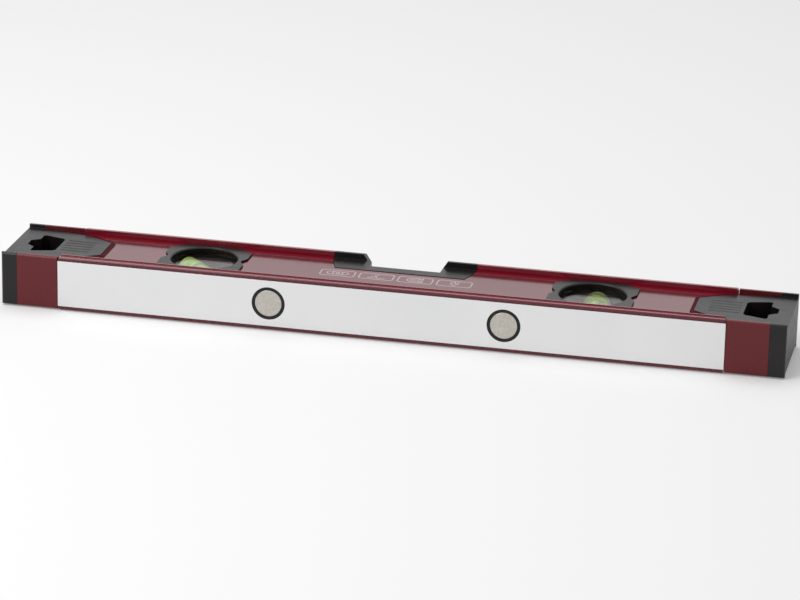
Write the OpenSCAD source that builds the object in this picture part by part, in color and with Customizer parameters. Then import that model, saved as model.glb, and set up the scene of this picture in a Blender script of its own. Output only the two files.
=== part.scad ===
// Magnetic spirit level: a hollow profile with raised lips, moulded end caps with hanging holes,
// two round side vials, one vial in a window of the top edge, and two magnets in the milled face.
// It lies on one side face: X runs along it, -Y is the measuring face, +Y the top edge. Millimetres.

/* [Level] */
// Overall length
level_l = 400; // [360:10:1000]
// Height from the measuring face to the top edge
level_h = 50; // [49:1:64]
// Thickness across the ribs of the two side faces
level_t = 29; // [28.6:0.2:36]

/* [Profile] */
// Rise of a lip above the ledge at its foot
lip_rise = 2.4; // [2.2:0.1:2.7]
// Thickness of a lip
lip_w = 4; // [3.6:0.1:4.2]
// Width of the chamfer along a lip's outer edge
lip_cut_y = 0.6; // [0.3:0.1:1.1]
// Height of that chamfer
lip_cut_z = 0.5; // [0.3:0.1:1]
// Width of the rib along a lip's inner edge
rib_w = 0.6; // [0.4:0.1:1]
// Height of that rib
rib_h = 0.6; // [0.3:0.1:0.7]
// Length of the slope at each end of a lip
lip_end_l = 0.9; // [0.4:0.1:2]
// Height of that slope
lip_end_h = 2.2; // [0.8:0.1:2.4]
// Radius at the foot of a lip
foot_r = 0.8; // [0.4:0.1:0.8]
// Width of the ledge at the foot of a lip
ledge_w = 5.4; // [5:0.1:6]
// Step from the ledge down to the panel
ledge_step = 0.4; // [0.2:0.05:0.5]
// Wall of the side panels
panel_wall = 1.8; // [1.4:0.1:2]
// Wall behind the measuring face and the top edge
edge_wall = 2.8; // [2.2:0.1:3.6]
// Radius of the hollow's corners
hollow_r = 1; // [0.4:0.1:2]
// Width of the coated margin beside the milled face
face_margin = 1.9; // [1.3:0.1:3]
// Setback of the coated margin behind the milled face
face_setback = 0.25; // [0.1:0.05:0.4]

/* [End caps] */
// Drop from the profile's ribs to the lips of the caps and collars
cap_drop = 0.7; // [0.6:0.1:0.8]
// Thickness of the caps' and collars' lips
cap_lip_w = 2.4; // [2:0.1:2.8]
// Radius of the caps' and collars' long outer corners
corner_r = 1.2; // [0.4:0.1:1.6]
// Length of the black bumper
bumper_l = 8.4; // [7.4:0.1:10.4]
// Radius of the bumper's upright corners
bumper_r = 1.6; // [0.5:0.1:3]
// Length of the red collar
collar_l = 21.3; // [20:0.1:30]
// Open slit between the collar and the profile
joint_gap = 0.3; // [0.2:0.1:1]
// Length of the core that sits inside the profile
core_l = 20; // [12:1:30]
// Wall of the hollow core
core_wall = 2; // [1.2:0.2:3]
// Thickness of the black plate, which lies on the ledges
plate_t = 0.45; // [0.35:0.05:0.6]
// Height of the black plate above the red one round it
plate_step = 0.25; // [0.1:0.05:0.3]
// Distance from the end to where the black plate starts to taper
plate_root_at = 11; // [9:0.5:14]
// Distance from the end to the bend in the black plate's sides
plate_bend_at = 35; // [33:0.5:38]
// Width of the black plate at that bend
plate_bend_w = 34.8; // [33:0.2:35.2]
// Distance from the end to the black plate's tip
plate_tip_at = 48; // [44:0.2:48.8]
// Width of the black plate's tip
plate_tip_w = 19.4; // [16:0.2:20]
// Width of the red tongue where it leaves the collar
tongue_root_w = 40.4; // [38:0.2:41]
// Distance from the end to the bend in the red tongue's sides
tongue_bend_at = 36.5; // [35:0.5:39]
// Width of the red tongue at that bend
tongue_bend_w = 37.6; // [37:0.2:39]
// Distance from the end to the red tongue's tip
tongue_tip_at = 49.9; // [49:0.1:56]
// Width of the red tongue's tip
tongue_tip_w = 21; // [21:0.5:28]
// Number of grip grooves on a plate
groove_n = 5; // [1:2:5]
// Distance between grip grooves
groove_pitch = 3.7; // [2.5:0.1:3.8]
// Radius of a grip groove
groove_r = 1.2; // [0.8:0.1:1.6]
// Depth of a grip groove
groove_depth = 0.25; // [0.1:0.05:0.3]
// Distance from the end to the outer end of the grooves
groove_at = 26.5; // [26:0.5:29]
// Length of the grooves
groove_l = 14; // [8:0.5:16]

/* [Hanging hole] */
// Distance from the end to the hole's wide side
hole_at = 11.4; // [10.5:0.1:12]
// Length of the hole's tapered part
hole_l = 12.4; // [10:0.1:13]
// Width of the wide side
hole_wide = 26; // [22:0.5:28]
// Width of the narrow side
hole_narrow = 18.8; // [14:0.2:20]
// Cut across the hole's corners
hole_chamfer = 1.2; // [0.4:0.1:2]
// Length of the nail notch
notch_l = 4.2; // [4.1:0.1:4.6]
// Width of the nail notch where it opens
notch_root = 12.4; // [10:0.2:14]
// Width of the nail notch at its tip
notch_tip = 6.2; // [5:0.2:8]
// Wall round the hole where it passes through the collar
boss_wall = 2; // [1.4:0.1:2.2]

/* [Side vials] */
// Distance from the end to the middle of a side vial
vial_at = 100; // [88:1:108]
// Turn of the left vial about the thickness
left_turn = -45; // [-80:5:80]
// Turn of the right vial about the thickness
right_turn = 90; // [45:5:90]
// Width of a bezel
bezel_w = 43; // [42:0.5:50]
// Height of a bezel
bezel_h = 40.4; // [39.6:0.2:42]
// Cut across the bezel's corners, along the level
bezel_cut_x = 7.7; // [5:0.1:8]
// Cut across the bezel's corners, across the level
bezel_cut_y = 6.6; // [4:0.1:7]
// Depth of the notch in each end of a bezel
bezel_notch = 2.2; // [1:0.1:2.2]
// Width of that notch at its mouth
bezel_notch_w = 9.4; // [5:0.2:12]
// Width of that notch at its bottom
bezel_notch_base = 1.6; // [0.8:0.2:3]
// Thickness of a bezel's flange where it lies on the ledges
bezel_t = 0.4; // [0.3:0.05:0.6]
// Radius of the opening in a bezel
window_r = 16.85; // [15.5:0.05:17]
// Bevel round that opening
window_bevel = 0.6; // [0.2:0.1:0.9]
// Depth of the lens below the rim
lens_depth = 2.95; // [2.6:0.05:3]
// Thickness of a lens
lens_t = 1; // [0.8:0.1:1.1]
// Radius of a lens
lens_r = 17.7; // [17.4:0.05:18.2]
// Radius of the vial carrier
carrier_r = 19.15; // [18.9:0.05:19.4]

/* [Vials] */
// Radius of a vial
vial_r = 6.9; // [6.2:0.1:6.9]
// Length of a vial
vial_l = 35.4; // [33:0.2:35.6]
// Radius of the liquid chamber
chamber_r = 5.2; // [4.6:0.1:5.4]
// Length of the vial beyond each end of the chamber
vial_end = 4.3; // [4.2:0.1:5]
// Length of the stopper
stopper_l = 4; // [3:0.1:4.2]
// Length of a bubble
bubble_l = 9; // [7:0.5:11]
// Radius of a bubble
bubble_r = 2.5; // [2:0.1:2.8]
// Clearance between a bubble and the chamber wall
bubble_gap = 0.25; // [0.2:0.05:0.4]
// Width of a marker ring
ring_w = 0.7; // [0.4:0.1:1]
// Depth of a marker ring in the vial
ring_t = 0.18; // [0.12:0.02:0.3]
// Space between the bubble's end and a marker ring
ring_gap = 0.6; // [0.2:0.1:1.2]

/* [Top window] */
// Length of the window housing
housing_l = 74; // [70:1:80]
// Length of the housing's side plates at their inner edge
housing_base_l = 66.8; // [64:0.2:68]
// Depth of the housing below the top edge
housing_d = 18.4; // [17.8:0.1:19]
// Depth at which the side plates' ends start to slope
housing_slope_d = 7; // [5:0.5:9]
// Rise of the side plates above the panel
housing_rise = 0.25; // [0.1:0.05:0.3]
// Depth of the window notch
window_d = 12; // [11:0.1:12.6]
// Length of the window notch
window_l = 36.8; // [36:0.1:40]
// Length of the slope at each end of the notch
window_flare = 3.4; // [1:0.1:4]
// Depth of that slope below the ribs
flare_d = 5.2; // [3.2:0.1:6]
// Depth of the centre vial's axis below the top edge
centre_vial_d = 8; // [7.4:0.1:9]
// Wall of the housing
housing_wall = 2; // [1.4:0.1:2.4]
// Clearance of the housing in the profile
housing_gap = 0.12; // [0.06:0.02:0.2]

/* [Magnets] */
// Distance of the magnets from the middle
magnet_x = 60; // [50:1:68]
// Radius of a magnet
magnet_r = 6.8; // [5:0.1:7]
// Thickness of a magnet
magnet_t = 5; // [3:0.5:6]
// Thickness of the steel disc behind a magnet
backing_t = 1.5; // [1:0.1:2]
// Wall of the magnet's bush
bush_wall = 1.65; // [0.8:0.05:1.8]
// Floor of the magnet's bush
bush_floor = 1.5; // [1:0.1:2]
// Setback of the bush behind the milled face
bush_setback = 0.15; // [0.05:0.05:0.3]

/* [Fits] */
// Clearance between pieces that sit together
fit_gap = 0.05; // [0.03:0.01:0.08]

/* [Hidden] */
$fn = 96;
// Overlap of the shapes that make up one piece, and of a cut past the face it opens
weld = 0.1;
past = 1;

half_l = level_l / 2;
half_h = level_h / 2;
half_t = level_t / 2;
cap_half_t = half_t - cap_drop;
front_y = half_h - face_setback;
lip_y = half_h - lip_w;
cap_lip_y = half_h - cap_lip_w;

// Levels above the middle plane, for one side face
lip_z = half_t - rib_h;
ledge_z = lip_z - lip_rise;
panel_z = ledge_z - ledge_step;
hollow_z = panel_z - panel_wall;
hollow_y = half_h - edge_wall;
ledge_y = lip_y - ledge_w;
pocket_z = ledge_z + fit_gap;
plate_z = pocket_z + plate_t;
red_z = plate_z - plate_step;
rim_z = ledge_z + fit_gap + bezel_t;
lens_top = rim_z - lens_depth;
lens_low = lens_top - lens_t;
housing_z = panel_z + housing_rise;

// Stations along the right-hand half
bumper_x = half_l - bumper_l;
collar_x = bumper_x - collar_l;
profile_x = collar_x - joint_gap;
core_x = profile_x - core_l;
hole_x = half_l - hole_at;
hole_in_x = hole_x - hole_l;
boss_x = hole_in_x - boss_wall;
boss_y = hole_wide / 2 + boss_wall;
vial_x = half_l - vial_at;

centre_vial_y = half_h - centre_vial_d;
bush_r = magnet_r + fit_gap + bush_wall;
chamber_l = vial_l - 2 * vial_end;
ring_x = bubble_l / 2 + ring_gap + ring_w / 2;
bubble_lift = chamber_r - bubble_r - bubble_gap;
panel_hole_r = carrier_r + fit_gap;

// Placing

// Everything is drawn round the middle plane and then set on its lower side face
module on_side() {
  translate([0, 0, half_t])
    children();
}

// Both side faces
module both_sides() {
  for (m = [0, 1])
    mirror([0, 0, m])
      children();
}

// A section in the plane of Y and Z, drawn from one station to another along X
module along_x(from_x, to_x) {
  translate([from_x, 0, 0])
    rotate([90, 0, 90])
      linear_extrude(height = to_x - from_x)
        children();
}

// An outline in the plane of X and Z, drawn from one height to another along Y
module along_y(from_y, to_y) {
  translate([0, to_y, 0])
    rotate([90, 0, 0])
      linear_extrude(height = to_y - from_y)
        children();
}

// An outline in the plane of X and Y, right through the thickness
module through_z() {
  linear_extrude(height = level_t + 2 * past, center = true)
    children();
}

// A round bar along X
module bar_x(from_x, to_x, r) {
  translate([from_x, 0, 0])
    rotate([0, 90, 0])
      cylinder(r = r, h = to_x - from_x);
}

module at_left_vial() {
  translate([-vial_x, 0, 0])
    rotate([0, 0, left_turn])
      children();
}

module at_right_vial() {
  translate([vial_x, 0, 0])
    rotate([0, 0, right_turn])
      children();
}

module at_centre_vial() {
  translate([0, centre_vial_y, 0])
    children();
}

// From a magnet's outer face inwards, along Y
module at_magnet(side, depth) {
  translate([side * magnet_x, -half_h + depth, 0])
    rotate([-90, 0, 0])
      children();
}

// Sections

module rounded_rect(w, h, r) {
  square([w - 2 * r, h], center = true);
  square([w, h - 2 * r], center = true);
  for (x = [-1, 1], y = [-1, 1])
    translate([x * (w / 2 - r), y * (h / 2 - r)])
      circle(r);
}

// The profile's outer section: the milled face proud of its coated margins, chamfered lips and their ribs
module body_section() {
  rib_y = lip_y + rib_w;
  mirrored_outline([
    [-half_h, lip_z - face_margin],
    [-front_y, lip_z - face_margin],
    [-front_y, lip_z - lip_cut_z],
    [-half_h + lip_cut_y, lip_z],
    [-rib_y, lip_z],
    [-rib_y, half_t],
    [rib_y, half_t],
    [rib_y, lip_z],
    [half_h - lip_cut_y, lip_z],
    [half_h, lip_z - lip_cut_z]
  ]);
}

// The caps' and collars' outer section, a little lower than the profile
module cap_section() {
  translate([(half_h - front_y) / 2, 0])
    rounded_rect(half_h + front_y, 2 * cap_half_t, corner_r);
}

// Recess of both side faces, down to a level
module recess(half_w, level) {
  for (m = [0, 1])
    mirror([0, m])
      translate([-half_w, level])
        square([2 * half_w, level_t]);
}

module hollow_section(gap) {
  rounded_rect(2 * (hollow_y - gap), 2 * (hollow_z - gap), hollow_r);
}

// Recess between the lips of both side faces, round at the foot of each lip
module lip_recess() {
  for (m = [0, 1])
    mirror([0, m])
      translate([0, ledge_z + half_t])
        rounded_rect(2 * lip_y, level_t, foot_r);
}

module profile_section() {
  difference() {
    body_section();
    lip_recess();
    recess(ledge_y, panel_z);
    hollow_section(0);
  }
}

// Section of the collar or the bumper, with its side faces cut down to a level
module end_section(level) {
  difference() {
    cap_section();
    recess(cap_lip_y, level);
  }
}

// Outlines

// An outline that is the same on both sides of its first axis, from the points on its upper side
module mirrored_outline(points) {
  back = [for (i = [len(points) - 1 : -1 : 0]) [points[i][0], -points[i][1]]];
  polygon(concat(points, back));
}

module plate_outline(gap) {
  mirrored_outline([
    [half_l - plate_tip_at - gap, plate_tip_w / 2 + gap],
    [half_l - plate_bend_at, plate_bend_w / 2 + gap],
    [half_l - plate_root_at, cap_lip_y - fit_gap],
    [bumper_x + weld, cap_lip_y - fit_gap]
  ]);
}

module tongue_outline() {
  mirrored_outline([
    [half_l - tongue_tip_at, tongue_tip_w / 2],
    [half_l - tongue_bend_at, tongue_bend_w / 2],
    [collar_x + weld, tongue_root_w / 2]
  ]);
}

module hole_outline() {
  slope = (hole_wide - hole_narrow) / 2 / hole_l;
  mirrored_outline([
    [hole_in_x, hole_narrow / 2 - hole_chamfer],
    [hole_in_x + hole_chamfer, hole_narrow / 2 + slope * hole_chamfer],
    [hole_x - hole_chamfer, hole_wide / 2 - slope * hole_chamfer],
    [hole_x, hole_wide / 2 - hole_chamfer],
    [hole_x, notch_root / 2],
    [hole_x + notch_l, notch_tip / 2]
  ]);
}

module bezel_outline() {
  w = bezel_w / 2;
  h = bezel_h / 2;
  quarter = [
    [w - bezel_notch, bezel_notch_base / 2],
    [w, bezel_notch_w / 2],
    [w, h - bezel_cut_y],
    [w - bezel_cut_x, h]
  ];
  top = concat(quarter, [for (i = [len(quarter) - 1 : -1 : 0]) [-quarter[i][0], quarter[i][1]]]);
  mirrored_outline(top);
}

module housing_outline(gap) {
  far_y = half_h + (gap > 0 ? past : 0);
  base_y = half_h - housing_d - gap;
  slope_y = half_h - housing_slope_d;
  polygon([
    [-housing_l / 2 - gap, far_y],
    [-housing_l / 2 - gap, slope_y],
    [-housing_base_l / 2 - gap, base_y],
    [housing_base_l / 2 + gap, base_y],
    [housing_l / 2 + gap, slope_y],
    [housing_l / 2 + gap, far_y]
  ]);
}

// The sloped part of the window's notch, carried on past the ribs
module flare_outline() {
  slope = window_flare / flare_d;
  polygon([
    [-window_l / 2, half_t - flare_d],
    [window_l / 2, half_t - flare_d],
    [window_l / 2 + window_flare + slope * past, half_t + past],
    [-window_l / 2 - window_flare - slope * past, half_t + past]
  ]);
}

// The slope at the right-hand end of a lip
module lip_end_outline() {
  slope = lip_end_l / lip_end_h;
  polygon([
    [profile_x - lip_end_l - slope * past, half_t + past],
    [profile_x + past, half_t + past],
    [profile_x + past, half_t - lip_end_h - past / slope],
    [profile_x, half_t - lip_end_h]
  ]);
}

// Pieces

module profile() {
  color("firebrick")
    on_side()
      difference() {
        along_x(-profile_x, profile_x)
          profile_section();
        for (s = [-1, 1])
          translate([s * vial_x, 0, 0])
            cylinder(r = panel_hole_r, h = level_t, center = true);
        through_z()
          housing_outline(housing_gap);
        for (s = [-1, 1])
          at_magnet(s, -past)
            cylinder(r = bush_r + fit_gap, h = past + edge_wall + hollow_r);
        for (m = [0, 1])
          mirror([m, 0, 0])
            both_sides()
              along_y(-half_h - past, half_h + past)
                lip_end_outline();
      }
}

// Plan of the bumper, with its two upright outer corners rounded
module bumper_plan() {
  depth = half_h + front_y;
  translate([bumper_x, -front_y])
    square([bumper_l - bumper_r, depth]);
  translate([bumper_x, -front_y + bumper_r])
    square([bumper_l, depth - 2 * bumper_r]);
  for (y = [-front_y + bumper_r, half_h - bumper_r])
    translate([half_l - bumper_r, y])
      circle(bumper_r);
}

// The hollow core inside the profile and the collar, solid round the hanging hole
module cap_core() {
  difference() {
    along_x(core_x, bumper_x + weld)
      hollow_section(fit_gap);
    along_x(core_x - past, boss_x)
      hollow_section(fit_gap + core_wall);
  }
}

// The grip grooves of one plate, round-ended and open at its face
module grip_grooves() {
  first = half_l - groove_at - groove_l;
  last = half_l - groove_at;
  for (i = [0 : groove_n - 1])
    translate([0, (i - (groove_n - 1) / 2) * groove_pitch, plate_z + groove_r - groove_depth]) {
      bar_x(first, last, groove_r);
      for (x = [first, last])
        translate([x, 0, 0])
          sphere(groove_r);
    }
}

module end_cap() {
  difference() {
    union() {
      intersection() {
        along_x(bumper_x, half_l)
          end_section(plate_z);
        through_z()
          bumper_plan();
      }
      cap_core();
      translate([boss_x + fit_gap, -boss_y + fit_gap, -pocket_z - weld])
        cube([bumper_x + weld - boss_x - fit_gap, 2 * (boss_y - fit_gap), 2 * (pocket_z + weld)]);
      both_sides()
        translate([0, 0, pocket_z])
          linear_extrude(height = plate_t)
            plate_outline(0);
    }
    through_z()
      hole_outline();
    both_sides()
      grip_grooves();
  }
}

module left_end_cap() {
  color("dimgray")
    on_side()
      mirror([1, 0, 0])
        end_cap();
}

module right_end_cap() {
  color("dimgray")
    on_side()
      end_cap();
}

// The tongue steps up over the ledges, as the profile does
module collar_tongue() {
  translate([0, 0, ledge_z + fit_gap])
    linear_extrude(height = red_z - ledge_z - fit_gap)
      tongue_outline();
  translate([0, 0, panel_z + fit_gap])
    linear_extrude(height = red_z - panel_z - fit_gap)
      intersection() {
        tongue_outline();
        translate([0, -ledge_y + fit_gap])
          square([half_l, 2 * (ledge_y - fit_gap)]);
      }
}

module end_collar() {
  difference() {
    union() {
      along_x(collar_x, bumper_x - fit_gap)
        end_section(red_z);
      both_sides()
        collar_tongue();
    }
    along_x(collar_x - past, bumper_x + past)
      hollow_section(0);
    both_sides()
      translate([0, 0, pocket_z - fit_gap])
        linear_extrude(height = plate_t)
          plate_outline(fit_gap);
    translate([boss_x, -boss_y, -half_t])
      cube([bumper_x + past - boss_x, 2 * boss_y, level_t]);
  }
}

module left_end_collar() {
  color("brown")
    on_side()
      mirror([1, 0, 0])
        end_collar();
}

module right_end_collar() {
  color("brown")
    on_side()
      end_collar();
}

// The flange steps up over the ledges, and the spigot below it clamps the lens
module bezel() {
  difference() {
    union() {
      translate([0, 0, ledge_z + fit_gap])
        linear_extrude(height = rim_z - ledge_z - fit_gap)
          bezel_outline();
      translate([0, 0, panel_z + fit_gap])
        linear_extrude(height = rim_z - panel_z - fit_gap)
          intersection() {
            bezel_outline();
            square([bezel_w, 2 * (ledge_y - fit_gap)], center = true);
          }
      translate([0, 0, lens_top])
        cylinder(r = carrier_r, h = ledge_z + fit_gap + weld - lens_top);
    }
    translate([0, 0, lens_top - past])
      cylinder(r = window_r, h = level_t);
    translate([0, 0, rim_z - window_bevel])
      cylinder(r1 = window_r, r2 = window_r + window_bevel + past, h = window_bevel + past);
  }
}

module left_upper_bezel() {
  color("dimgray")
    on_side()
      translate([-vial_x, 0, 0])
        bezel();
}

module left_lower_bezel() {
  color("dimgray")
    on_side()
      translate([-vial_x, 0, 0])
        mirror([0, 0, 1])
          bezel();
}

module right_upper_bezel() {
  color("dimgray")
    on_side()
      translate([vial_x, 0, 0])
        bezel();
}

module right_lower_bezel() {
  color("dimgray")
    on_side()
      translate([vial_x, 0, 0])
        mirror([0, 0, 1])
          bezel();
}

module lens() {
  translate([0, 0, lens_low])
    cylinder(r = lens_r, h = lens_t - fit_gap);
}

module left_upper_lens() {
  color("lightcyan")
    on_side()
      translate([-vial_x, 0, 0])
        lens();
}

module left_lower_lens() {
  color("lightcyan")
    on_side()
      translate([-vial_x, 0, 0])
        mirror([0, 0, 1])
          lens();
}

module right_upper_lens() {
  color("lightcyan")
    on_side()
      translate([vial_x, 0, 0])
        lens();
}

module right_lower_lens() {
  color("lightcyan")
    on_side()
      translate([vial_x, 0, 0])
        mirror([0, 0, 1])
          lens();
}

// Ring between two bezels, counterbored for both lenses and bored across for the vial
module vial_carrier() {
  difference() {
    translate([0, 0, -lens_top + fit_gap])
      cylinder(r = carrier_r, h = 2 * (lens_top - fit_gap));
    translate([0, 0, -lens_top - past])
      cylinder(r = window_r + fit_gap, h = 2 * (lens_top + past));
    both_sides()
      translate([0, 0, lens_low - fit_gap])
        cylinder(r = lens_r + fit_gap, h = lens_t + past);
    bar_x(-carrier_r - past, carrier_r + past, vial_r + fit_gap);
  }
}

module left_vial_carrier() {
  color("dimgray")
    on_side()
      at_left_vial()
        vial_carrier();
}

module right_vial_carrier() {
  color("dimgray")
    on_side()
      at_right_vial()
        vial_carrier();
}

// Side plates and lugs in one moulding, with a trough for the vial and hollow lugs
module window_housing() {
  color("dimgray")
    on_side()
      difference() {
        union() {
          linear_extrude(height = 2 * housing_z, center = true)
            housing_outline(0);
          intersection() {
            along_x(-housing_l / 2, housing_l / 2)
              body_section();
            translate([-housing_l / 2, lip_y, -half_t])
              cube([housing_l, lip_w, level_t]);
          }
        }
        translate([-window_l / 2, half_h - window_d, -half_t])
          cube([window_l, window_d + past, level_t]);
        both_sides()
          along_y(half_h - window_d, half_h + past)
            flare_outline();
        at_centre_vial() {
          bar_x(-vial_l / 2 - fit_gap, vial_l / 2 + fit_gap, vial_r + fit_gap);
          translate([-vial_l / 2 - fit_gap, 0, -vial_r - fit_gap])
            cube([vial_l + 2 * fit_gap, centre_vial_d, 2 * (vial_r + fit_gap)]);
        }
        for (m = [0, 1])
          mirror([m, 0, 0])
            lug_hollow();
      }
}

// The hollow inside one lug, open towards the inside of the level
module lug_hollow() {
  from_x = window_l / 2 + window_flare + housing_wall;
  to_x = housing_base_l / 2 - housing_wall;
  deep_z = hollow_z - housing_wall;
  translate([from_x, half_h - housing_d - past, -deep_z])
    cube([to_x - from_x, housing_d - housing_wall + past, 2 * deep_z]);
}

// A clear round bar, bored for the liquid from one end and grooved for the marker rings
module vial() {
  difference() {
    bar_x(-vial_l / 2, vial_l / 2, vial_r);
    bar_x(-chamber_l / 2, vial_l / 2 + past, chamber_r);
    for (s = [-1, 1])
      translate([s * ring_x, 0, 0])
        difference() {
          bar_x(-ring_w / 2 - fit_gap, ring_w / 2 + fit_gap, vial_r + past);
          bar_x(-ring_w, ring_w, vial_r - ring_t - fit_gap);
        }
  }
}

module left_vial() {
  color("palegreen")
    on_side()
      at_left_vial()
        vial();
}

module right_vial() {
  color("palegreen")
    on_side()
      at_right_vial()
        vial();
}

module centre_vial() {
  color("palegreen")
    on_side()
      at_centre_vial()
        vial();
}

module stopper() {
  bar_x(chamber_l / 2, chamber_l / 2 + stopper_l, chamber_r - fit_gap);
}

module left_stopper() {
  color("whitesmoke")
    on_side()
      at_left_vial()
        stopper();
}

module right_stopper() {
  color("whitesmoke")
    on_side()
      at_right_vial()
        stopper();
}

module centre_stopper() {
  color("whitesmoke")
    on_side()
      at_centre_vial()
        stopper();
}

module marker_rings() {
  for (s = [-1, 1])
    translate([s * ring_x, 0, 0])
      difference() {
        bar_x(-ring_w / 2, ring_w / 2, vial_r);
        bar_x(-ring_w, ring_w, vial_r - ring_t);
      }
}

module left_marker_rings() {
  color("black")
    on_side()
      at_left_vial()
        marker_rings();
}

module right_marker_rings() {
  color("black")
    on_side()
      at_right_vial()
        marker_rings();
}

module centre_marker_rings() {
  color("black")
    on_side()
      at_centre_vial()
        marker_rings();
}

// A bubble lies along the upper side of its chamber
module bubble() {
  round_x = bubble_l / 2 - bubble_r;
  translate([0, 0, bubble_lift]) {
    bar_x(-round_x, round_x, bubble_r);
    for (s = [-1, 1])
      translate([s * round_x, 0, 0])
        sphere(bubble_r);
  }
}

module left_bubble() {
  color("honeydew")
    on_side()
      at_left_vial()
        bubble();
}

module right_bubble() {
  color("honeydew")
    on_side()
      at_right_vial()
        bubble();
}

module centre_bubble() {
  color("honeydew")
    on_side()
      at_centre_vial()
        bubble();
}

module magnet(side) {
  at_magnet(side, bush_setback)
    cylinder(r = magnet_r, h = magnet_t);
}

module left_magnet() {
  color("silver")
    on_side()
      magnet(-1);
}

module right_magnet() {
  color("silver")
    on_side()
      magnet(1);
}

// Where a bush may be: round in the wall, and between flats inside the hollow
module bush_room() {
  translate([-half_l, -half_h, -half_t])
    cube([level_l, edge_wall, level_t]);
  translate([-half_l, -half_h, -hollow_z + fit_gap])
    cube([level_l, half_h, 2 * (hollow_z - fit_gap)]);
}

module magnet_bush(side) {
  depth = magnet_t + backing_t + fit_gap;
  difference() {
    intersection() {
      at_magnet(side, bush_setback)
        cylinder(r = bush_r, h = depth + fit_gap + bush_floor);
      bush_room();
    }
    at_magnet(side, -past)
      cylinder(r = magnet_r + fit_gap, h = past + bush_setback + depth + fit_gap);
  }
}

module left_magnet_bush() {
  color("black")
    on_side()
      magnet_bush(-1);
}

module right_magnet_bush() {
  color("black")
    on_side()
      magnet_bush(1);
}

module magnet_backing(side) {
  at_magnet(side, bush_setback + magnet_t + fit_gap)
    cylinder(r = magnet_r, h = backing_t);
}

module left_magnet_backing() {
  color("gray")
    on_side()
      magnet_backing(-1);
}

module right_magnet_backing() {
  color("gray")
    on_side()
      magnet_backing(1);
}

profile();
left_end_cap();
right_end_cap();
left_end_collar();
right_end_collar();
left_upper_bezel();
left_lower_bezel();
right_upper_bezel();
right_lower_bezel();
left_upper_lens();
left_lower_lens();
right_upper_lens();
right_lower_lens();
left_vial_carrier();
right_vial_carrier();
window_housing();
left_vial();
right_vial();
centre_vial();
left_stopper();
right_stopper();
centre_stopper();
left_marker_rings();
right_marker_rings();
centre_marker_rings();
left_bubble();
right_bubble();
centre_bubble();
left_magnet();
right_magnet();
left_magnet_bush();
right_magnet_bush();
left_magnet_backing();
right_magnet_backing();
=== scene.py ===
"""Looks of the magnetic level: materials for the CAD nodes, the liquid in the vials, print, stage and camera."""
import math

import bmesh
import bpy
from mathutils import Matrix, Vector


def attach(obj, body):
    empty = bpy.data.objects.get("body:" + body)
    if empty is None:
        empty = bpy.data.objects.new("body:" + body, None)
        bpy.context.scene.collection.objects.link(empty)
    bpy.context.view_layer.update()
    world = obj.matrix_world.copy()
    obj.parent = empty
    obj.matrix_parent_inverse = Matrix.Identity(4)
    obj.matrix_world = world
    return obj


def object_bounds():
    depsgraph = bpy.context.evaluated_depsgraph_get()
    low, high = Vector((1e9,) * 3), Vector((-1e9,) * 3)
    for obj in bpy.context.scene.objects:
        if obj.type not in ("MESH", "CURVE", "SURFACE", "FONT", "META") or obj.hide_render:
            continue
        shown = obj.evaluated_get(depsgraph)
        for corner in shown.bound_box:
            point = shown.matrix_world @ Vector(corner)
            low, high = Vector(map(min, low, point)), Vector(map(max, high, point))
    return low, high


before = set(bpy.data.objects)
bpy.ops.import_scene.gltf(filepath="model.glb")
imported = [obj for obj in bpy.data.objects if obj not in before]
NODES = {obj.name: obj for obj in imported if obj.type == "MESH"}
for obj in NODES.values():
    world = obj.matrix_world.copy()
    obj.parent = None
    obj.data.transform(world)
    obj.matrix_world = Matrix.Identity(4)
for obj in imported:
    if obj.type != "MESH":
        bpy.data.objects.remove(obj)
CAD_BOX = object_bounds()

MM = 0.001
LEVEL = "level"
SIDES = ("left", "right")
VIALS = ("left", "right", "centre")

# Places on the solids. A rise is a height above or below the middle of the level's thickness.
LOW, HIGH = (Vector(corner) for corner in CAD_BOX)
MID_Z = (LOW.z + HIGH.z) / 2
FACE_Y = LOW.y
END_X = HIGH.x
RIB_RISE = HIGH.z - MID_Z
LIP_RISE = 13.9 * MM
TONGUE_RISE = 11.75 * MM
LEDGE_RISE = 11.5 * MM
PANEL_RISE = 11.1 * MM
LIP_Y = 21 * MM
FOOT_R = 0.8 * MM
FRONT_DEPTH = 1.2 * MM
NEAR = 0.05 * MM


# Shader helpers

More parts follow.
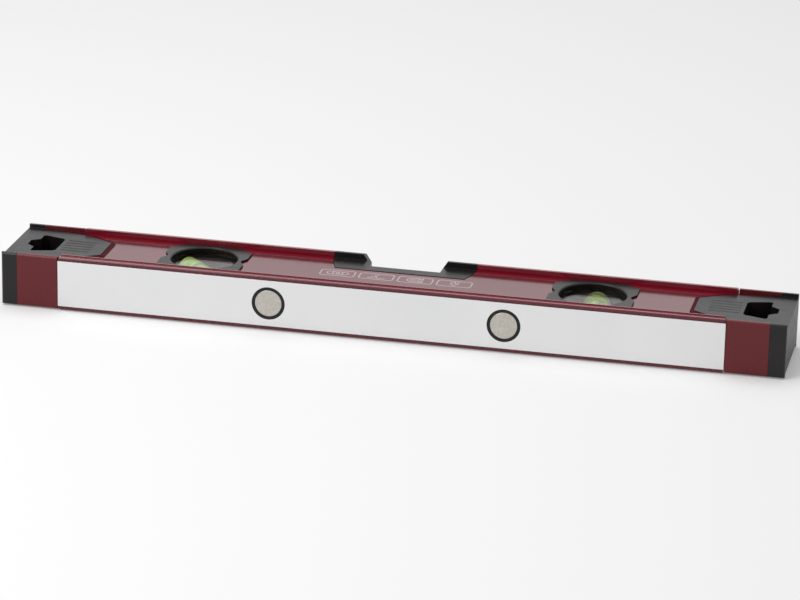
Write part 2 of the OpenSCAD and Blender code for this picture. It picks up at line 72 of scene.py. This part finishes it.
class Shader:
    """A material with one Principled shader, and short ways to add the nodes that feed it."""

    def __init__(self, name):
        self.material = bpy.data.materials.new(name)
        self.material.use_nodes = True
        self.tree = self.material.node_tree
        self.tree.nodes.clear()
        self.out = self.node("ShaderNodeOutputMaterial")
        self.bsdf = self.node("ShaderNodeBsdfPrincipled")
        self.link(self.bsdf.outputs["BSDF"], self.out.inputs["Surface"])
        self.place = self.node("ShaderNodeTexCoord").outputs["Object"]

    def node(self, kind, **settings):
        made = self.tree.nodes.new(kind)
        for key, value in settings.items():
            setattr(made, key, value)
        return made

    def link(self, source, target):
        self.tree.links.new(source, target)

    def set(self, **values):
        """Constant values on the shader's own sockets."""
        for key, value in values.items():
            self.bsdf.inputs[key.replace("_", " ")].default_value = value

    def feed(self, socket, source):
        self.link(source, self.bsdf.inputs[socket])

    def noise(self, cells, detail, roughness=0.5):
        """Noise of that many cells per metre, from 0 to 1."""
        tex = self.node("ShaderNodeTexNoise")
        tex.inputs["Scale"].default_value = cells
        tex.inputs["Detail"].default_value = detail
        tex.inputs["Roughness"].default_value = roughness
        self.link(self.place, tex.inputs["Vector"])
        return tex.outputs["Fac"]

    def spread(self, source, low, high, from_low=0.3, from_high=0.7):
        """A value moved from one range, at first that of noise, to another."""
        made = self.node("ShaderNodeMapRange")
        for key, value in zip(("From Min", "From Max", "To Min", "To Max"), (from_low, from_high, low, high)):
            made.inputs[key].default_value = value
        self.link(source, made.inputs["Value"])
        return made.outputs["Result"]

    def math(self, operation, *values):
        made = self.node("ShaderNodeMath", operation=operation)
        for i, value in enumerate(values):
            if isinstance(value, (int, float)):
                made.inputs[i].default_value = value
            else:
                self.link(value, made.inputs[i])
        return made.outputs["Value"]

    def mix(self, factor, first, second):
        """A colour between two, each a colour or a socket."""
        made = self.node("ShaderNodeMix", data_type="RGBA")
        self.link(factor, made.inputs["Factor"])
        for socket, value in ((made.inputs[6], first), (made.inputs[7], second)):
            if isinstance(value, tuple):
                socket.default_value = (*value, 1)
            else:
                self.link(value, socket)
        return made.outputs[2]

    def rounded(self, radius):
        """The surface normal with edges softened over a radius."""
        made = self.node("ShaderNodeBevel", samples=6)
        made.inputs["Radius"].default_value = radius
        return made.outputs["Normal"]

    def edges(self, radius):
        """About 0 on flat stretches, rising towards 1 within a radius of an edge."""
        dot = self.node("ShaderNodeVectorMath", operation="DOT_PRODUCT")
        self.link(self.rounded(radius), dot.inputs[0])
        self.link(self.node("ShaderNodeNewGeometry").outputs["Normal"], dot.inputs[1])
        return self.spread(dot.outputs["Value"], 1.0, 0.0, from_low=0.72, from_high=0.995)

    def crevice_shade(self, reach):
        """0 in the open, rising to 1 where most directions are shut off within a reach; it masks the painted shade in
        joints and crevices.
        """
        made = self.node("ShaderNodeAmbientOcclusion", samples=8)
        made.inputs["Distance"].default_value = reach
        return self.spread(made.outputs["AO"], 1.0, 0.0, from_low=0.35, from_high=0.9)

    def bump(self, height, distance, strength, normal=None):
        made = self.node("ShaderNodeBump")
        made.inputs["Strength"].default_value = strength
        made.inputs["Distance"].default_value = distance
        self.link(height, made.inputs["Height"])
        if normal is not None:
            self.link(normal, made.inputs["Normal"])
        return made.outputs["Normal"]


def scaled(colour, factor, lift=0.0):
    return tuple(min(1, c * factor + lift) for c in colour)


# Materials

# How far the painted shade in joints and crevices reaches.
SHADE_REACH = 0.7 * MM
CUTTER_R = 40 * MM


def coated_metal(name, dark, light, rough, ior, edge_rub_and_highlight=0.16):
    """Stove enamel on extruded aluminium: faint orange peel, slow colour drift, painted shade darkening the joints
    and crevices, and paler edges that are partly rubbed and partly a painted highlight.
    """
    s = Shader(name)
    base = s.mix(s.spread(s.noise(cells=22, detail=3), 0, 1), dark, light)
    # Paler edges: partly rubbed paint, partly a painted highlight.
    rubbed_and_highlit_edges = s.math("MULTIPLY", s.edges(0.35 * MM), s.spread(s.noise(cells=260, detail=4), 0, edge_rub_and_highlight))
    base = s.mix(rubbed_and_highlit_edges, base, scaled(light, 2.0, lift=0.02))
    # Painted shade: the base colour darkens towards near black in joints and crevices.
    s.feed("Base Color", s.mix(s.crevice_shade(SHADE_REACH), base, scaled(dark, 0.12)))
    s.feed("Roughness", s.spread(s.noise(cells=420, detail=3), *rough))
    peel = s.bump(s.noise(cells=700, detail=2), distance=0.012 * MM, strength=0.25, normal=s.rounded(0.25 * MM))
    s.feed("Normal", s.bump(s.noise(cells=5200, detail=2), distance=0.0015 * MM, strength=0.2, normal=peel))
    s.set(IOR=ior)
    return s.material


def moulded_plastic(name, dark, light, grain=2600, rough=(0.26, 0.33), ior=1.4):
    """Spark-eroded moulded plastic: fine pitted grain, slow drift in colour and gloss, edges paled partly by polish
    from handling and partly as a painted highlight, and painted shade darkening the joints and crevices.
    """
    s = Shader(name)
    drift = s.spread(s.noise(cells=60, detail=4), 0, 1)
    fine = s.spread(s.noise(cells=grain * 0.6, detail=2), 0, 1)
    base = s.mix(s.math("MULTIPLY_ADD", fine, 0.35, s.math("MULTIPLY", drift, 0.65)), dark, light)
    # Paler edges: partly polished by handling, partly a painted highlight.
    rubbed_and_highlit_edges = s.math("MULTIPLY", s.edges(0.4 * MM), s.spread(s.noise(cells=300, detail=4), 0.1, 0.6))
    base = s.mix(rubbed_and_highlit_edges, base, scaled(light, 1.6, lift=0.004))
    # Painted shade: the base colour darkens towards near black in joints and crevices.
    s.feed("Base Color", s.mix(s.crevice_shade(SHADE_REACH), base, scaled(dark, 0.2)))
    s.feed("Roughness", s.spread(s.noise(cells=180, detail=4), *rough))
    pits = s.noise(cells=grain, detail=3, roughness=0.6)
    s.feed("Normal", s.bump(pits, distance=0.01 * MM, strength=0.5, normal=s.rounded(0.3 * MM)))
    s.set(IOR=ior)
    return s.material


def screen_print(name, thin, full):
    """Pale ink laid through a mesh: uneven cover, and a dull surface."""
    s = Shader(name)
    weave = s.noise(cells=9000, detail=1)
    cover = s.math("MULTIPLY", s.spread(s.noise(cells=900, detail=3), 0.6, 1), s.spread(weave, 0.75, 1))
    s.feed("Base Color", s.mix(cover, thin, full))
    s.feed("Roughness", s.spread(s.noise(cells=700, detail=3), 0.4, 0.5))
    s.feed("Normal", s.bump(weave, distance=0.002 * MM, strength=0.3))
    return s.material


def milled_metal(name, dark, light):
    """Bare aluminium faced with a wide cutter: fine arcs across the face, with slow changes from pass to pass."""
    s = Shader(name)
    split = s.node("ShaderNodeSeparateXYZ")
    s.link(s.place, split.inputs[0])
    across = s.math("SUBTRACT", split.outputs["Z"], MID_Z)
    chord = s.math("SQRT", s.math("SUBTRACT", CUTTER_R ** 2, s.math("MULTIPLY", across, across)))
    sweep = s.math("SUBTRACT", split.outputs["X"], chord)
    marks = []
    for pitch, detail in ((0.28 * MM, 1), (1.1 * MM, 2), (60 * MM, 1)):
        tex = s.node("ShaderNodeTexNoise", noise_dimensions="1D")
        tex.inputs["Scale"].default_value = 1 / pitch
        tex.inputs["Detail"].default_value = detail
        s.link(sweep, tex.inputs["W"])
        marks.append(tex.outputs["Fac"])
    fine, middle, slow = marks
    tone = s.math("MULTIPLY_ADD", slow, 0.8, s.math("MULTIPLY", middle, 0.2))
    s.feed("Base Color", s.mix(s.spread(tone, 0, 1), dark, light))
    s.feed("Roughness", s.spread(tone, 0.36, 0.39))
    height = s.math("MULTIPLY_ADD", fine, 0.7, s.math("MULTIPLY", middle, 0.3))
    s.feed("Normal", s.bump(height, distance=0.003 * MM, strength=0.4, normal=s.rounded(0.12 * MM)))
    s.set(Metallic=1.0)
    return s.material


def plated_metal(name, dark, light):
    """Plated or bare metal with fine pits and a slow change of gloss."""
    s = Shader(name)
    s.feed("Base Color", s.mix(s.spread(s.noise(cells=900, detail=4), 0, 1), dark, light))
    s.feed("Roughness", s.spread(s.noise(cells=300, detail=4), 0.3, 0.38))
    pits = s.noise(cells=2400, detail=3)
    s.feed("Normal", s.bump(pits, distance=0.003 * MM, strength=0.4, normal=s.rounded(0.4 * MM)))
    s.set(Metallic=1.0)
    return s.material


def clear_plastic(name, tint, ior, painted_glow=(0, 0, 0)):
    """Polished clear acrylic, tinted liquid or air with faint flow marks, and a painted glow that stands in for the
    light reaching the vials.
    """
    s = Shader(name)
    s.feed("Base Color", s.mix(s.spread(s.noise(cells=90, detail=2), 0, 1), tint, scaled(tint, 1.03)))
    s.feed("Roughness", s.spread(s.noise(cells=140, detail=3), 0.02, 0.04))
    s.set(IOR=ior, Transmission_Weight=1.0)
    # Painted glow: the piece gives off light of its own in place of the light that reaches it.
    s.set(Emission_Color=(*painted_glow, 1), Emission_Strength=1.0)
    return s.material


def window_plastic(name, tint, ior):
    """A polished clear pane that lets the lamps through to what is behind it."""
    s = Shader(name)
    s.feed("Base Color", s.mix(s.spread(s.noise(cells=70, detail=2), 0, 1), tint, (1, 1, 1)))
    s.feed("Roughness", s.spread(s.noise(cells=160, detail=3), 0.01, 0.03))
    s.set(IOR=ior, Transmission_Weight=1.0)
    clear = s.node("ShaderNodeBsdfTransparent")
    clear.inputs["Color"].default_value = (*tint, 1)
    pane = s.node("ShaderNodeMixShader")
    s.link(s.node("ShaderNodeLightPath").outputs["Is Shadow Ray"], pane.inputs["Fac"])
    s.link(s.bsdf.outputs["BSDF"], pane.inputs[1])
    s.link(clear.outputs[0], pane.inputs[2])
    s.link(pane.outputs[0], s.out.inputs["Surface"])
    return s.material


RED_COAT = coated_metal(
    "red_coat", dark=(0.178, 0.003, 0.013), light=(0.2, 0.0042, 0.016), rough=(0.2, 0.26), ior=1.6)
# Painted highlight: a paler, glossier copy of the red coat for the flat tops of the lips and ribs.
RED_LIT_CREST = coated_metal(
    "red_lit_crest", dark=(0.25, 0.025, 0.045), light=(0.28, 0.03, 0.05), rough=(0.16, 0.2), ior=2.1, edge_rub_and_highlight=0.0)
# Painted shade: a darker copy of the red coat for the front faces beside the measuring face.
RED_SHADED_FRONT = coated_metal(
    "red_shaded_front", dark=(0.088, 0.005, 0.0125), light=(0.104, 0.007, 0.016), rough=(0.24, 0.3), ior=1.5, edge_rub_and_highlight=0.03)
# Painted shade: a darker, duller copy of the red coat for the round at the foot of each lip wall.
RED_SHADED_FOOT = coated_metal(
    "red_shaded_foot", dark=(0.15, 0.003, 0.012), light=(0.17, 0.004, 0.015), rough=(0.45, 0.5), ior=1.1, edge_rub_and_highlight=0.0)
# Painted shade: a darker, glossier copy of the red coat for the recessed panel.
RED_SHADED_PANEL = coated_metal(
    "red_shaded_panel", dark=(0.13, 0.006, 0.016), light=(0.148, 0.008, 0.02), rough=(0.13, 0.17), ior=1.78)
MILLED = milled_metal("milled_aluminium", dark=(0.735, 0.738, 0.744), light=(0.765, 0.765, 0.765))
RED_PLASTIC = moulded_plastic("red_plastic", dark=(0.118, 0.0075, 0.0115), light=(0.138, 0.01, 0.0145))
# Painted shade: a darker, duller copy of the red plastic for the collar tongues.
RED_SHADED_TONGUE = moulded_plastic("red_shaded_tongue", dark=(0.07, 0.0022, 0.0075), light=(0.085, 0.0034, 0.01), ior=1.06)
CAP_BLACK = moulded_plastic("cap_black", dark=(0.006, 0.0045, 0.005), light=(0.0105, 0.008, 0.0085))
# Painted shade: a darker, duller copy of the cap black for the cap ends.
END_SHADED_BLACK = moulded_plastic(
    "end_shaded_black", dark=(0.005, 0.004, 0.0045), light=(0.009, 0.007, 0.0075), rough=(0.34, 0.42), ior=1.28)
BEZEL_BLACK = moulded_plastic(
    "bezel_black", dark=(0.0055, 0.0045, 0.0045), light=(0.0095, 0.008, 0.0075), grain=3200)
# Painted shade: a duller copy of the bezel black for the standing walls of the bezels and the vial carriers.
WALL_SHADED_BLACK = moulded_plastic(
    "wall_shaded_black", dark=(0.008, 0.0058, 0.005), light=(0.012, 0.009, 0.008), rough=(0.42, 0.5), ior=1.15)
BUSH_BLACK = moulded_plastic("bush_black", dark=(0.003, 0.003, 0.003), light=(0.006, 0.006, 0.006))
NICKEL = plated_metal("nickel_plate", dark=(0.46, 0.43, 0.38), light=(0.55, 0.52, 0.47))
STEEL = plated_metal("bare_steel", dark=(0.4, 0.4, 0.41), light=(0.5, 0.5, 0.51))
LENS_CLEAR = window_plastic("lens_clear", tint=(0.95, 0.97, 0.96), ior=1.25)
# Painted glow in the vials and the liquid, in place of the light that reaches them.
VIAL_CLEAR = clear_plastic("vial_clear", tint=(0.9, 0.95, 0.74), ior=1.49, painted_glow=(0.028, 0.036, 0.012))
LIQUID_IOR = 1.36
LIQUID = clear_plastic("liquid_green", tint=(0.7, 0.87, 0.3), ior=LIQUID_IOR, painted_glow=(0.05, 0.07, 0.014))
BUBBLE = clear_plastic("bubble_air", tint=(0.97, 1.0, 0.93), ior=1 / LIQUID_IOR)
STOPPER = moulded_plastic("stopper_pale", dark=(0.5, 0.56, 0.38), light=(0.6, 0.66, 0.46))
INK = screen_print("pale_ink", thin=(0.3, 0.2, 0.22), full=(0.6, 0.52, 0.54))
MARKER = moulded_plastic("marker_black", dark=(0.004, 0.004, 0.004), light=(0.008, 0.008, 0.008))


# CAD nodes

def dress(material, *names):
    for name in names:
        slots = NODES[name].data.materials
        slots.clear()
        slots.append(material)


def redress(name, material, test):
    """A further material on the faces that pass a test."""
    mesh = NODES[name].data
    mesh.materials.append(material)
    for face in mesh.polygons:
        if test(face):
            face.material_index = len(mesh.materials) - 1


def lies_at(rise):
    """A test for faces that look up or down at a rise."""
    return lambda face: abs(face.normal.z) > 0.99 and abs(abs(face.center.z - MID_Z) - rise) < NEAR


def at_front(face):
    """The measuring face and the rounded edges beside it."""
    return face.normal.y < -0.5 and face.center.y < FACE_Y + FRONT_DEPTH


def is_milled(face):
    return face.normal.y < -0.99 and face.center.y < FACE_Y + NEAR


def in_lip_foot(face):
    """The small round between a lip's inner wall and its ledge."""
    out, rise = abs(face.center.y) - LIP_Y, abs(face.center.z - MID_Z) - LEDGE_RISE
    return -FOOT_R < out < 0 < rise < FOOT_R and 0.05 < abs(face.normal.z) < 0.99


def at_end(face):
    return abs(face.normal.x) > 0.9 and abs(face.center.x) > END_X - NEAR


def stands(face):
    return abs(face.normal.z) < 0.5


dress(RED_COAT, "profile")
# Painted shade on the front faces beside the measuring face.
redress("profile", RED_SHADED_FRONT, at_front)
redress("profile", MILLED, is_milled)
# Painted shade on the round at the foot of each lip wall.
redress("profile", RED_SHADED_FOOT, in_lip_foot)
# Painted shade on the recessed panel.
redress("profile", RED_SHADED_PANEL, lies_at(PANEL_RISE))
# Painted highlight on the flat tops of the lips and ribs.
redress("profile", RED_LIT_CREST, lies_at(LIP_RISE))
redress("profile", RED_LIT_CREST, lies_at(RIB_RISE))
for side in SIDES:
    dress(CAP_BLACK, f"{side}_end_cap")
    # Painted shade on the cap ends.
    redress(f"{side}_end_cap", END_SHADED_BLACK, at_end)
    dress(RED_PLASTIC, f"{side}_end_collar")
    # Painted shade on the collar tongues.
    redress(f"{side}_end_collar", RED_SHADED_TONGUE, lies_at(TONGUE_RISE))
    for bezel in (f"{side}_upper_bezel", f"{side}_lower_bezel"):
        dress(BEZEL_BLACK, bezel)
        # Painted shade on the standing walls of the bezel.
        redress(bezel, WALL_SHADED_BLACK, stands)
    # Painted shade on the vial carrier.
    dress(WALL_SHADED_BLACK, f"{side}_vial_carrier")
    dress(LENS_CLEAR, f"{side}_upper_lens", f"{side}_lower_lens")
    dress(NICKEL, f"{side}_magnet")
    dress(BUSH_BLACK, f"{side}_magnet_bush")
    dress(STEEL, f"{side}_magnet_backing")
dress(BEZEL_BLACK, "window_housing")
for vial in VIALS:
    dress(VIAL_CLEAR, f"{vial}_vial")
    dress(STOPPER, f"{vial}_stopper")
    dress(MARKER, f"{vial}_marker_rings")
    dress(BUBBLE, f"{vial}_bubble")


# Pieces made here

def add_piece(name, bm, material, body, place):
    mesh = bpy.data.meshes.new(name)
    bm.to_mesh(mesh)
    bm.free()
    mesh.materials.append(material)
    piece = bpy.data.objects.new(name, mesh)
    bpy.context.scene.collection.objects.link(piece)
    mesh.transform(place)
    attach(piece, body)
    return piece


def lathe(bm, points, steps):
    """A closed solid of revolution about X, from (x, radius) points that start and end on the axis."""
    turns = [2 * math.pi * i / steps for i in range(steps)]
    rings = []
    for x, r in points:
        if r == 0:
            rings.append([bm.verts.new((x, 0, 0))])
        else:
            rings.append([bm.verts.new((x, r * math.cos(a), r * math.sin(a))) for a in turns])
    for low, high in zip(rings, rings[1:]):
        for i in range(steps):
            j = (i + 1) % steps
            corners = (low[i % len(low)], low[j % len(low)], high[j % len(high)], high[i % len(high)])
            bm.faces.new(list(dict.fromkeys(corners)))
    bmesh.ops.recalc_face_normals(bm, faces=bm.faces)
    for face in bm.faces:
        face.smooth = True


# The liquid fills each vial's chamber and sinks a little into its wall, so that no air film shows between them
VIAL_X = 100 * MM
CENTRE_VIAL_Y = 17 * MM
LEFT_TURN, RIGHT_TURN = math.radians(-45), math.radians(90)
VIAL_PLACE = {
    "left": Matrix.Translation((-VIAL_X, 0, MID_Z)) @ Matrix.Rotation(LEFT_TURN, 4, "Z"),
    "right": Matrix.Translation((VIAL_X, 0, MID_Z)) @ Matrix.Rotation(RIGHT_TURN, 4, "Z"),
    "centre": Matrix.Translation((0, CENTRE_VIAL_Y, MID_Z)),
}
SINK = 0.02 * MM
LIQUID_R = 5.2 * MM + SINK
LIQUID_END = 13.4 * MM + SINK
LIQUID_STEPS = 96
LIQUID_LINE = ((-LIQUID_END, 0), (-LIQUID_END, LIQUID_R), (LIQUID_END, LIQUID_R), (LIQUID_END, 0))
SHARP_FROM = math.radians(40)

for vial in VIALS:
    bm = bmesh.new()
    lathe(bm, LIQUID_LINE, LIQUID_STEPS)
    liquid = add_piece(f"{vial}_liquid", bm, LIQUID, LEVEL, VIAL_PLACE[vial])
    liquid.data.set_sharp_from_angle(angle=SHARP_FROM)


# Print on the upper panel: four plain signs for what the level does, in frames, drawn in millimetres.
# Each stroke of a sign lies a step higher than the one before, so that no two share a plane.

STROKE = 0.7 * MM
INK_T = 0.03 * MM
INK_STEP = 0.004 * MM
FRAME_W, FRAME_H, FRAME_R = 17.4, 8.2, 1.6
FRAME_PITCH = (FRAME_W + 2.6) * MM
PRINT_Y = -1.4 * MM
PRINT_Z = MID_Z + PANEL_RISE - INK_T / 3


def arc(cx, cy, r, start, end, steps=8):
    """Points of an arc, its angles in degrees."""
    turns = [math.radians(start + (end - start) * i / steps) for i in range(steps + 1)]
    return [(cx + r * math.cos(a), cy + r * math.sin(a)) for a in turns]


def rounded_box(w, h, r):
    """Points of a rounded rectangle about the middle."""
    x, y = w / 2 - r, h / 2 - r
    corners = ((x, y, 0), (-x, y, 90), (-x, -y, 180), (x, -y, 270))
    return [point for cx, cy, turn in corners for point in arc(cx, cy, r, turn, turn + 90, steps=5)]


def add_stroke(bm, points, closed, base):
    """A flat ribbon of ink along points, with mitred joints and its underside at a base height."""
    line = [Vector(point) * MM for point in points]
    count = len(line)
    sides = []
    for i, here in enumerate(line):
        ways = []
        if closed or i > 0:
            ways.append((here - line[i - 1]).normalized())
        if closed or i < count - 1:
            ways.append((line[(i + 1) % count] - here).normalized())
        along = sum(ways, Vector((0, 0))).normalized()
        out = Vector((-along.y, along.x)) * (STROKE / 2 / max(0.5, along.dot(ways[0])))
        edges = (here - out, here + out)
        sides.append([bm.verts.new((*edge, z)) for edge in edges for z in (base, base + INK_T)])
    for a, b in zip(sides, sides[1:] + (sides[:1] if closed else [])):
        for i, j in ((0, 1), (1, 3), (3, 2), (2, 0)):
            bm.faces.new((a[i], a[j], b[j], b[i]))
    if not closed:
        for end in (sides[0], sides[-1]):
            bm.faces.new((end[0], end[1], end[3], end[2]))


def flat_sign():
    """A lying vial with two marks and a bubble."""
    strokes = [(rounded_box(11, 4, 1.8), True), (arc(0, 0, 0.8, 0, 330, steps=11), True)]
    return strokes + [([(x, -2), (x, 2)], False) for x in (-2.4, 2.4)]


def angle_sign():
    """An angle of 45 degrees with its arc."""
    legs = [(4.6, -2.4), (-4.2, -2.4), (1.2, 3.0)]
    return [(legs, False), (arc(-4.2, -2.4, 4.6, 0, 45, steps=6), False)]


def magnet_sign():
    """A horseshoe magnet lying on its side, with its two tips set off."""
    outer = arc(-1.6, 0, 2.6, 90, 270) + [(3.6, -2.6)]
    inner = [(3.6, -0.9)] + arc(-1.6, 0, 0.9, 270, 90) + [(3.6, 0.9)]
    tips = [([(2, y), (2, y + 1.7)], False) for y in (-2.6, 0.9)]
    return [(outer + inner + [(3.6, 2.6)], True)] + tips


def plumb_sign():
    """A bob on its line."""
    bob = [(0, -2.9), (1.9, -0.4), (1.9, 0.9), (-1.9, 0.9), (-1.9, -0.4)]
    return [(bob, True), ([(0, 0.9), (0, 2.9)], False), ([(-2.6, 2.9), (2.6, 2.9)], False)]


SIGNS = (flat_sign(), angle_sign(), magnet_sign(), plumb_sign())
for i, sign in enumerate(SIGNS):
    bm = bmesh.new()
    strokes = [(rounded_box(FRAME_W, FRAME_H, FRAME_R), True)] + sign
    for layer, (points, closed) in enumerate(strokes):
        add_stroke(bm, points, closed, layer * INK_STEP)
    bmesh.ops.recalc_face_normals(bm, faces=bm.faces)
    place = Matrix.Translation(((i - (len(SIGNS) - 1) / 2) * FRAME_PITCH, PRINT_Y, PRINT_Z))
    add_piece(f"print_sign_{i + 1}", bm, INK, LEVEL, place)


# Stage

FLOOR_HALF = 6
FLOOR_Z = -0.02 * MM
PAPER = (0.82, 0.82, 0.82, 1)
PAPER_LIFT = 0.16
WHITE = (1, 1, 1, 1)
AMBIENT = 0.46
SEEN = 1.0


def seen_ray(tree):
    """1 for rays that show the background itself: straight, in a reflection or through something clear."""
    path = tree.nodes.new("ShaderNodeLightPath")
    total = path.outputs["Is Camera Ray"]
    for name in ("Is Glossy Ray", "Is Transmission Ray"):
        most = tree.nodes.new("ShaderNodeMath")
        most.operation = "MAXIMUM"
        tree.links.new(total, most.inputs[0])
        tree.links.new(path.outputs[name], most.inputs[1])
        total = most.outputs[0]
    return total


def make_floor():
    """A paper floor, lifted a little towards white where it is seen."""
    bm = bmesh.new()
    bmesh.ops.create_grid(bm, x_segments=2, y_segments=2, size=FLOOR_HALF)
    mesh = bpy.data.meshes.new("floor")
    bm.to_mesh(mesh)
    bm.free()
    floor = bpy.data.objects.new("floor", mesh)
    floor.location.z = FLOOR_Z
    bpy.context.scene.collection.objects.link(floor)
    material = bpy.data.materials.new("pale_floor")
    material.use_nodes = True
    tree = material.node_tree
    tree.nodes.clear()
    out = tree.nodes.new("ShaderNodeOutputMaterial")
    paper = tree.nodes.new("ShaderNodeBsdfDiffuse")
    paper.inputs["Color"].default_value = PAPER
    lift = tree.nodes.new("ShaderNodeEmission")
    lift.inputs["Strength"].default_value = PAPER_LIFT
    both = tree.nodes.new("ShaderNodeAddShader")
    tree.links.new(paper.outputs[0], both.inputs[0])
    tree.links.new(lift.outputs[0], both.inputs[1])
    pick = tree.nodes.new("ShaderNodeMixShader")
    tree.links.new(seen_ray(tree), pick.inputs[0])
    tree.links.new(paper.outputs[0], pick.inputs[1])
    tree.links.new(both.outputs[0], pick.inputs[2])
    tree.links.new(pick.outputs[0], out.inputs["Surface"])
    mesh.materials.append(material)


def make_world():
    """Even light from all round, and white where the background is seen."""
    world = bpy.data.worlds.new("studio")
    bpy.context.scene.world = world
    world.use_nodes = True
    tree = world.node_tree
    tree.nodes.clear()
    out = tree.nodes.new("ShaderNodeOutputWorld")
    pick = tree.nodes.new("ShaderNodeMixShader")
    tree.links.new(seen_ray(tree), pick.inputs[0])
    for i, strength in enumerate((AMBIENT, SEEN)):
        sky = tree.nodes.new("ShaderNodeBackground")
        sky.inputs["Color"].default_value = WHITE
        sky.inputs["Strength"].default_value = strength
        tree.links.new(sky.outputs[0], pick.inputs[i + 1])
    tree.links.new(pick.outputs[0], out.inputs["Surface"])


def add_softbox(name, place, size, power):
    """A soft rectangular lamp that looks at the origin."""
    data = bpy.data.lights.new(name, "AREA")
    data.shape = "RECTANGLE"
    data.size, data.size_y = size
    data.energy = power
    lamp = bpy.data.objects.new(name, data)
    bpy.context.scene.collection.objects.link(lamp)
    lamp.location = place
    lamp.rotation_euler = (-Vector(place)).to_track_quat("-Z", "Y").to_euler()


make_floor()
make_world()
add_softbox("key", place=(-0.8, -0.8, 1.0), size=(0.8, 0.8), power=9.2)
add_softbox("top", place=(-0.35, 0.4, 1.6), size=(1.5, 0.9), power=8)


# Camera, solved from edges in the photo: angles in radians, lengths in millimetres

AZIMUTH, ELEVATION, ROLL = 0.21220, 0.34062, 0.02205
DISTANCE, SHIFT_X, SHIFT_Y = 1889.28, -2.288, -12.884
FOCAL_PX, IMAGE_W, SENSOR_W = 3744.0, 800, 36
CLIP_NEAR, CLIP_FAR = 0.01, 50


def make_camera():
    flat = math.cos(ELEVATION)
    forward = Vector((-math.sin(AZIMUTH) * flat, math.cos(AZIMUTH) * flat, -math.sin(ELEVATION)))
    level_right = Vector((math.cos(AZIMUTH), math.sin(AZIMUTH), 0))
    level_up = level_right.cross(forward)
    right = math.cos(ROLL) * level_right + math.sin(ROLL) * level_up
    up = math.cos(ROLL) * level_up - math.sin(ROLL) * level_right
    eye = -(SHIFT_X * right + SHIFT_Y * up + DISTANCE * forward) * MM
    turn = Matrix((right, up, -forward)).transposed().to_4x4()
    data = bpy.data.cameras.new("camera")
    data.sensor_fit = "HORIZONTAL"
    data.sensor_width = SENSOR_W
    data.lens = FOCAL_PX * SENSOR_W / IMAGE_W
    data.clip_start, data.clip_end = CLIP_NEAR, CLIP_FAR
    camera = bpy.data.objects.new("camera", data)
    bpy.context.scene.collection.objects.link(camera)
    camera.matrix_world = Matrix.Translation(eye) @ turn
    bpy.context.scene.camera = camera


make_camera()
bpy.context.scene.view_settings.view_transform = "Standard"
